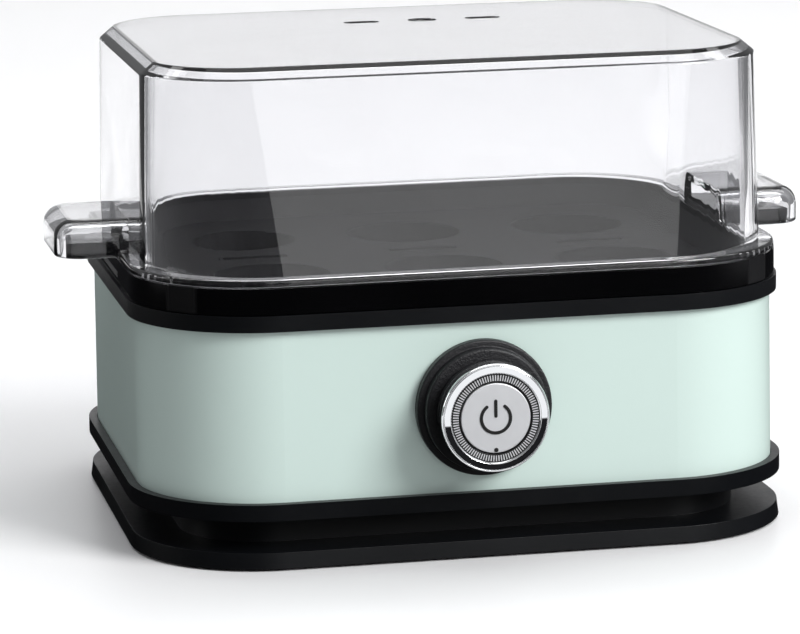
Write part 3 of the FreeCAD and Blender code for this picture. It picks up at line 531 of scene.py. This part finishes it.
def make_chrome_ring():
    """The bright ring on the dial: a bead at its rim, a fine groove and a nearly flat face."""
    inner, outer = 12.4 * MM, CHROME_HIGH.x
    front, back = CHROME_LOW.y, CHROME_HIGH.y
    bead = [(outer, back, 0.3 * MM), (outer, front + 0.75 * MM, 0.35 * MM),
            (outer - 0.35 * MM, front + 0.22 * MM, 0.2 * MM),
            (outer - 0.55 * MM, front + 0.3 * MM, 0.05 * MM)]
    face = [(outer - 0.62 * MM, front + 0.42 * MM, 0.03 * MM),
            (outer - 0.75 * MM, front + 0.10 * MM, 0.05 * MM),
            (inner + 0.35 * MM, front, 0.15 * MM), (inner, front + 0.4 * MM, 0.1 * MM)]
    profile = softened([(inner, back, 0)] + bead + face, True)
    place_piece(shade(turned("chrome_ring", profile, 160), 50), "dial", "bright_chrome",
                "dial_chrome_ring")


def make_scale():
    """The black scale ring, with a fine raised line every 3.6 degrees."""
    inner, outer = 10.1 * MM, 12.38 * MM
    front, back = SCALE_LOW.y, SCALE_HIGH.y
    profile = softened([(inner, back, 0), (outer, back, 0), (outer, front + 0.1 * MM, 0),
                        (inner, front + 0.1 * MM, 0.05 * MM)], True)
    place_piece(shade(turned("scale_ring", profile)), "dial", "scale_black", "dial_tick_ring")

    def fill(work):
        for index in range(100):
            turn = Matrix.Rotation(math.tau * index / 100, 4, "Y")
            shift = Matrix.Translation((0, 0, KNOB_LEVEL))
            low, high = inner + 0.35 * MM, outer - 0.3 * MM
            size = Matrix.Diagonal((0.32 * MM, 0.16 * MM, high - low, 1.0))
            middle = Matrix.Translation((0, front + 0.09 * MM, (low + high) / 2))
            bmesh.ops.create_cube(work, size=1.0, matrix=shift @ turn @ middle @ size)
    place_piece(shade(new_piece("scale_lines", fill)), "dial", "silver_disc")


def make_button():
    """The disc in the middle of the dial, and the raised power symbol and dot on it."""
    front, back = DISC_LOW.y, DISC_HIGH.y
    radius = DISC_HIGH.x
    profile = softened([(0, back, 0), (radius, back, 0.2 * MM), (radius, front, 0.35 * MM),
                        (0, front, 0)], True)
    place_piece(shade(turned("button_disc", profile)), "power_button", "silver_disc",
                "power_button")
    mark_levels = (DISC_LOW.y, ICON_LOW.y)

    def stroke(work, line, width):
        """A raised line with round ends along (x, z) points, measured from the knob's axis."""
        half = width / 2
        left, right = [], []
        for index, (x, z) in enumerate(line):
            before = Vector(line[max(index - 1, 0)])
            after = Vector(line[min(index + 1, len(line) - 1)])
            side = (after - before).normalized().orthogonal() * half
            left.append((x + side.x, z + side.y))
            right.append((x - side.x, z - side.y))
        first, last = Vector(line[0]), Vector(line[-1])
        start = math.atan2(right[0][1] - first.y, right[0][0] - first.x)
        end = math.atan2(left[-1][1] - last.y, left[-1][0] - last.x)
        head = arc_points(first, half, start, start - math.pi, 8)[1:-1]
        tail = arc_points(last, half, end, end - math.pi, 8)[1:-1]
        loop = left + tail + right[::-1] + head
        rings = [[(x, depth, KNOB_LEVEL + z) for x, z in loop] for depth in mark_levels]
        skin_rings(work, rings, False)

    def fill(work):
        gap = math.radians(38)
        arc = arc_points((0, 0), 4.1 * MM, math.pi / 2 + gap, math.pi / 2 + math.tau - gap, 40)
        stroke(work, arc, 0.9 * MM)
        stroke(work, [(0, 0.6 * MM), (0, 4.8 * MM)], 0.9 * MM)
        dot = arc_points((0, -8.9 * MM), 0.6 * MM, 0, math.tau, 20)[:-1]
        skin_rings(work, [[(x, depth, KNOB_LEVEL + z) for x, z in dot]
                          for depth in mark_levels], False)
    place_piece(shade(new_piece("power_mark", fill)), "power_button", "icon_black", "power_icon")


# ---------------------------------------------------------------- stage, lamps and camera

VIEW_AZIMUTH = math.radians(-11.326)
PAPER_HALF = 0.5


def make_floor():
    """A run of pale paper that curves up behind the object, in line with the view."""
    def fill(work):
        run = [(-1.6, 0.0), (1.6, 0.0)]
        run += [(1.6 + y, 1.0 + z) for y, z in arc_points((0, 0), 1.0, -math.pi / 2, 0, 16)[1:]]
        run += [(2.6, 2.2)]
        turn = Matrix.Rotation(VIEW_AZIMUTH, 3, "Z")
        rows = [[work.verts.new(turn @ Vector((x, y, z))) for x in (-PAPER_HALF, PAPER_HALF)]
                for y, z in run]
        for low, high in zip(rows, rows[1:]):
            work.faces.new((low[0], low[1], high[1], high[0]))
    floor = new_piece("studio_floor", fill)
    floor.data.polygons.foreach_set("use_smooth", [True] * len(floor.data.polygons))
    floor.data.materials.append(studio_paper())


def studio_paper():
    """Pale paper, with painted reflections.  Blurred reflections see it painted dark up to just
    behind the object, as if flagged off there; polished metal sees it glow with painted light, but
    for a dark strip in front; the light it bounces is painted down to about half."""
    look = Look("studio_paper")
    slow = look.noise(0.5, 2.0)
    fine = look.noise(0.6 * MM, 3.0)
    pale = look.tones(slow, (0.86, 0.86, 0.865), (0.88, 0.88, 0.885))
    along = look.add("ShaderNodeSeparateXYZ", {0: look.places}).outputs[1]
    rays = look.add("ShaderNodeLightPath").outputs
    behind = look.spread(along, 0.0, 1.0, 0.44, 0.50)
    lit = look.add("ShaderNodeMath", {0: behind, 1: rays["Is Transmission Ray"]},
                   operation="MAXIMUM").outputs[0]
    # Painted dark reflection: glossy rays see the paper near black up to just behind the object.
    painted_dark_reflection = look.add("ShaderNodeMix", {0: lit, 6: (0.010, 0.010, 0.011, 1.0), 7: pale},
                       data_type="RGBA").outputs[2]
    seen = look.add("ShaderNodeMix", {0: rays["Is Glossy Ray"], 6: pale, 7: painted_dark_reflection},
                    data_type="RGBA").outputs[2]
    # Painted shade in the bounce: diffuse rays see the paper mid grey.
    given = look.add("ShaderNodeMix", {0: rays["Is Diffuse Ray"], 6: seen,
                                       7: (0.45, 0.45, 0.455, 1.0)}, data_type="RGBA").outputs[2]
    # Painted reflection: mirror rays see the paper glow, but for a dark strip in front.
    far = look.spread(along, 1.0, 0.0, -0.275, -0.270)
    near = look.spread(along, 0.0, 1.0, -0.140, -0.135)
    strips = look.add("ShaderNodeMath", {0: far, 1: near}, operation="ADD").outputs[0]
    mirrored = look.add("ShaderNodeMath", {0: rays["Is Singular Ray"],
                                           1: rays["Is Reflection Ray"]},
                        operation="MULTIPLY").outputs[0]
    painted_reflection_glow = look.add("ShaderNodeMath", {0: strips, 1: mirrored}, operation="MULTIPLY").outputs[0]
    return look.finish(Base_Color=given, Roughness=look.spread(fine, 0.30, 0.36),
                       Specular_IOR_Level=look.spread(rays["Is Glossy Ray"], 0.3, 0.0, 0.0, 1.0),
                       Emission_Color=(0.97, 0.98, 1.0, 1.0),
                       Emission_Strength=painted_reflection_glow, Normal=look.bump(fine, 0.002 * MM))


def add_lamp(name, place, aim, size, power):
    """A soft rectangular lamp at a place, turned to face the aim."""
    lamp = bpy.data.lights.new(name, "AREA")
    lamp.shape = "RECTANGLE"
    lamp.size, lamp.size_y = size
    lamp.energy = power
    holder = bpy.data.objects.new(name, lamp)
    holder.location = place
    holder.rotation_mode = "QUATERNION"
    holder.rotation_quaternion = (Vector(aim) - Vector(place)).to_track_quat("-Z", "Y")
    bpy.context.scene.collection.objects.link(holder)


def make_lights():
    """A key to the right of the front, weaker panels ahead, at the left and above, a lamp for the
    paper behind, and a room that is brighter overhead and darker at the front left."""
    world = bpy.data.worlds.new("studio")
    bpy.context.scene.world = world
    world.use_nodes = True
    tree = world.node_tree
    ways = tree.nodes.new("ShaderNodeTexCoord")
    parts = tree.nodes.new("ShaderNodeSeparateXYZ")
    rise = tree.nodes.new("ShaderNodeMapRange")
    for key, value in {"From Min": 0.05, "From Max": 0.6, "To Min": 0.26, "To Max": 0.44}.items():
        rise.inputs[key].default_value = value
    tree.links.new(ways.outputs["Generated"], parts.inputs[0])
    tree.links.new(parts.outputs[2], rise.inputs["Value"])
    flag = tree.nodes.new("ShaderNodeVectorMath")
    flag.operation = "DOT_PRODUCT"
    flag.inputs[1].default_value = Vector((-0.75, -0.62, 0.25)).normalized()
    tree.links.new(ways.outputs["Generated"], flag.inputs[0])
    shaded = tree.nodes.new("ShaderNodeMapRange")
    for key, value in {"From Min": 0.45, "From Max": 0.9, "To Min": 1.0, "To Max": 0.4}.items():
        shaded.inputs[key].default_value = value
    tree.links.new(flag.outputs["Value"], shaded.inputs["Value"])
    strength = tree.nodes.new("ShaderNodeMath")
    strength.operation = "MULTIPLY"
    tree.links.new(rise.outputs[0], strength.inputs[0])
    tree.links.new(shaded.outputs[0], strength.inputs[1])
    background = tree.nodes["Background"]
    background.inputs["Color"].default_value = (0.96, 0.97, 1.0, 1.0)
    tree.links.new(strength.outputs[0], background.inputs["Strength"])
    middle = (0.0, 0.0, 0.07)
    add_lamp("key", (0.97, -1.15, 1.05), middle, (0.8, 0.8), 34.0)
    add_lamp("front", (0.45, -1.7, 0.60), middle, (1.2, 0.9), 3.5)
    add_lamp("left", (-1.3, 0.25, 0.45), middle, (0.5, 0.5), 1.2)
    add_lamp("top", (0.1, 0.2, 1.5), middle, (1.2, 1.2), 5.0)
    add_lamp("backdrop_lamp", (0.2, 1.0, 1.8), (0.34, 1.7, 0.2), (3.0, 1.0), 26.0)


def make_camera():
    """The viewing angle: a long lens a little to the left of and above the front."""
    azimuth, elevation, roll = VIEW_AZIMUTH, math.radians(10.964), math.radians(-0.927)
    target = Vector((-7.11 * MM, 0.0, 53.71 * MM))
    back = Vector((math.sin(azimuth) * math.cos(elevation),
                   -math.cos(azimuth) * math.cos(elevation), math.sin(elevation)))
    right = Vector((math.cos(azimuth), math.sin(azimuth), 0.0))
    up = back.cross(right)
    side = right * math.cos(roll) + up * math.sin(roll)
    over = up * math.cos(roll) - right * math.sin(roll)
    camera = bpy.data.cameras.new("camera")
    camera.lens = 181.22
    camera.sensor_width = 36.0
    camera.clip_start = 0.01
    holder = bpy.data.objects.new("camera", camera)
    turn = Matrix((side, over, back)).transposed().to_4x4()
    holder.matrix_world = Matrix.Translation(target + back * 1.1919) @ turn
    bpy.context.scene.collection.objects.link(holder)
    bpy.context.scene.camera = holder


dress_cad_nodes()
make_lid()
make_bezel()
make_chrome_ring()
make_scale()
make_button()
make_floor()
make_lights()
make_camera()
bpy.context.scene.view_settings.view_transform = "Standard"
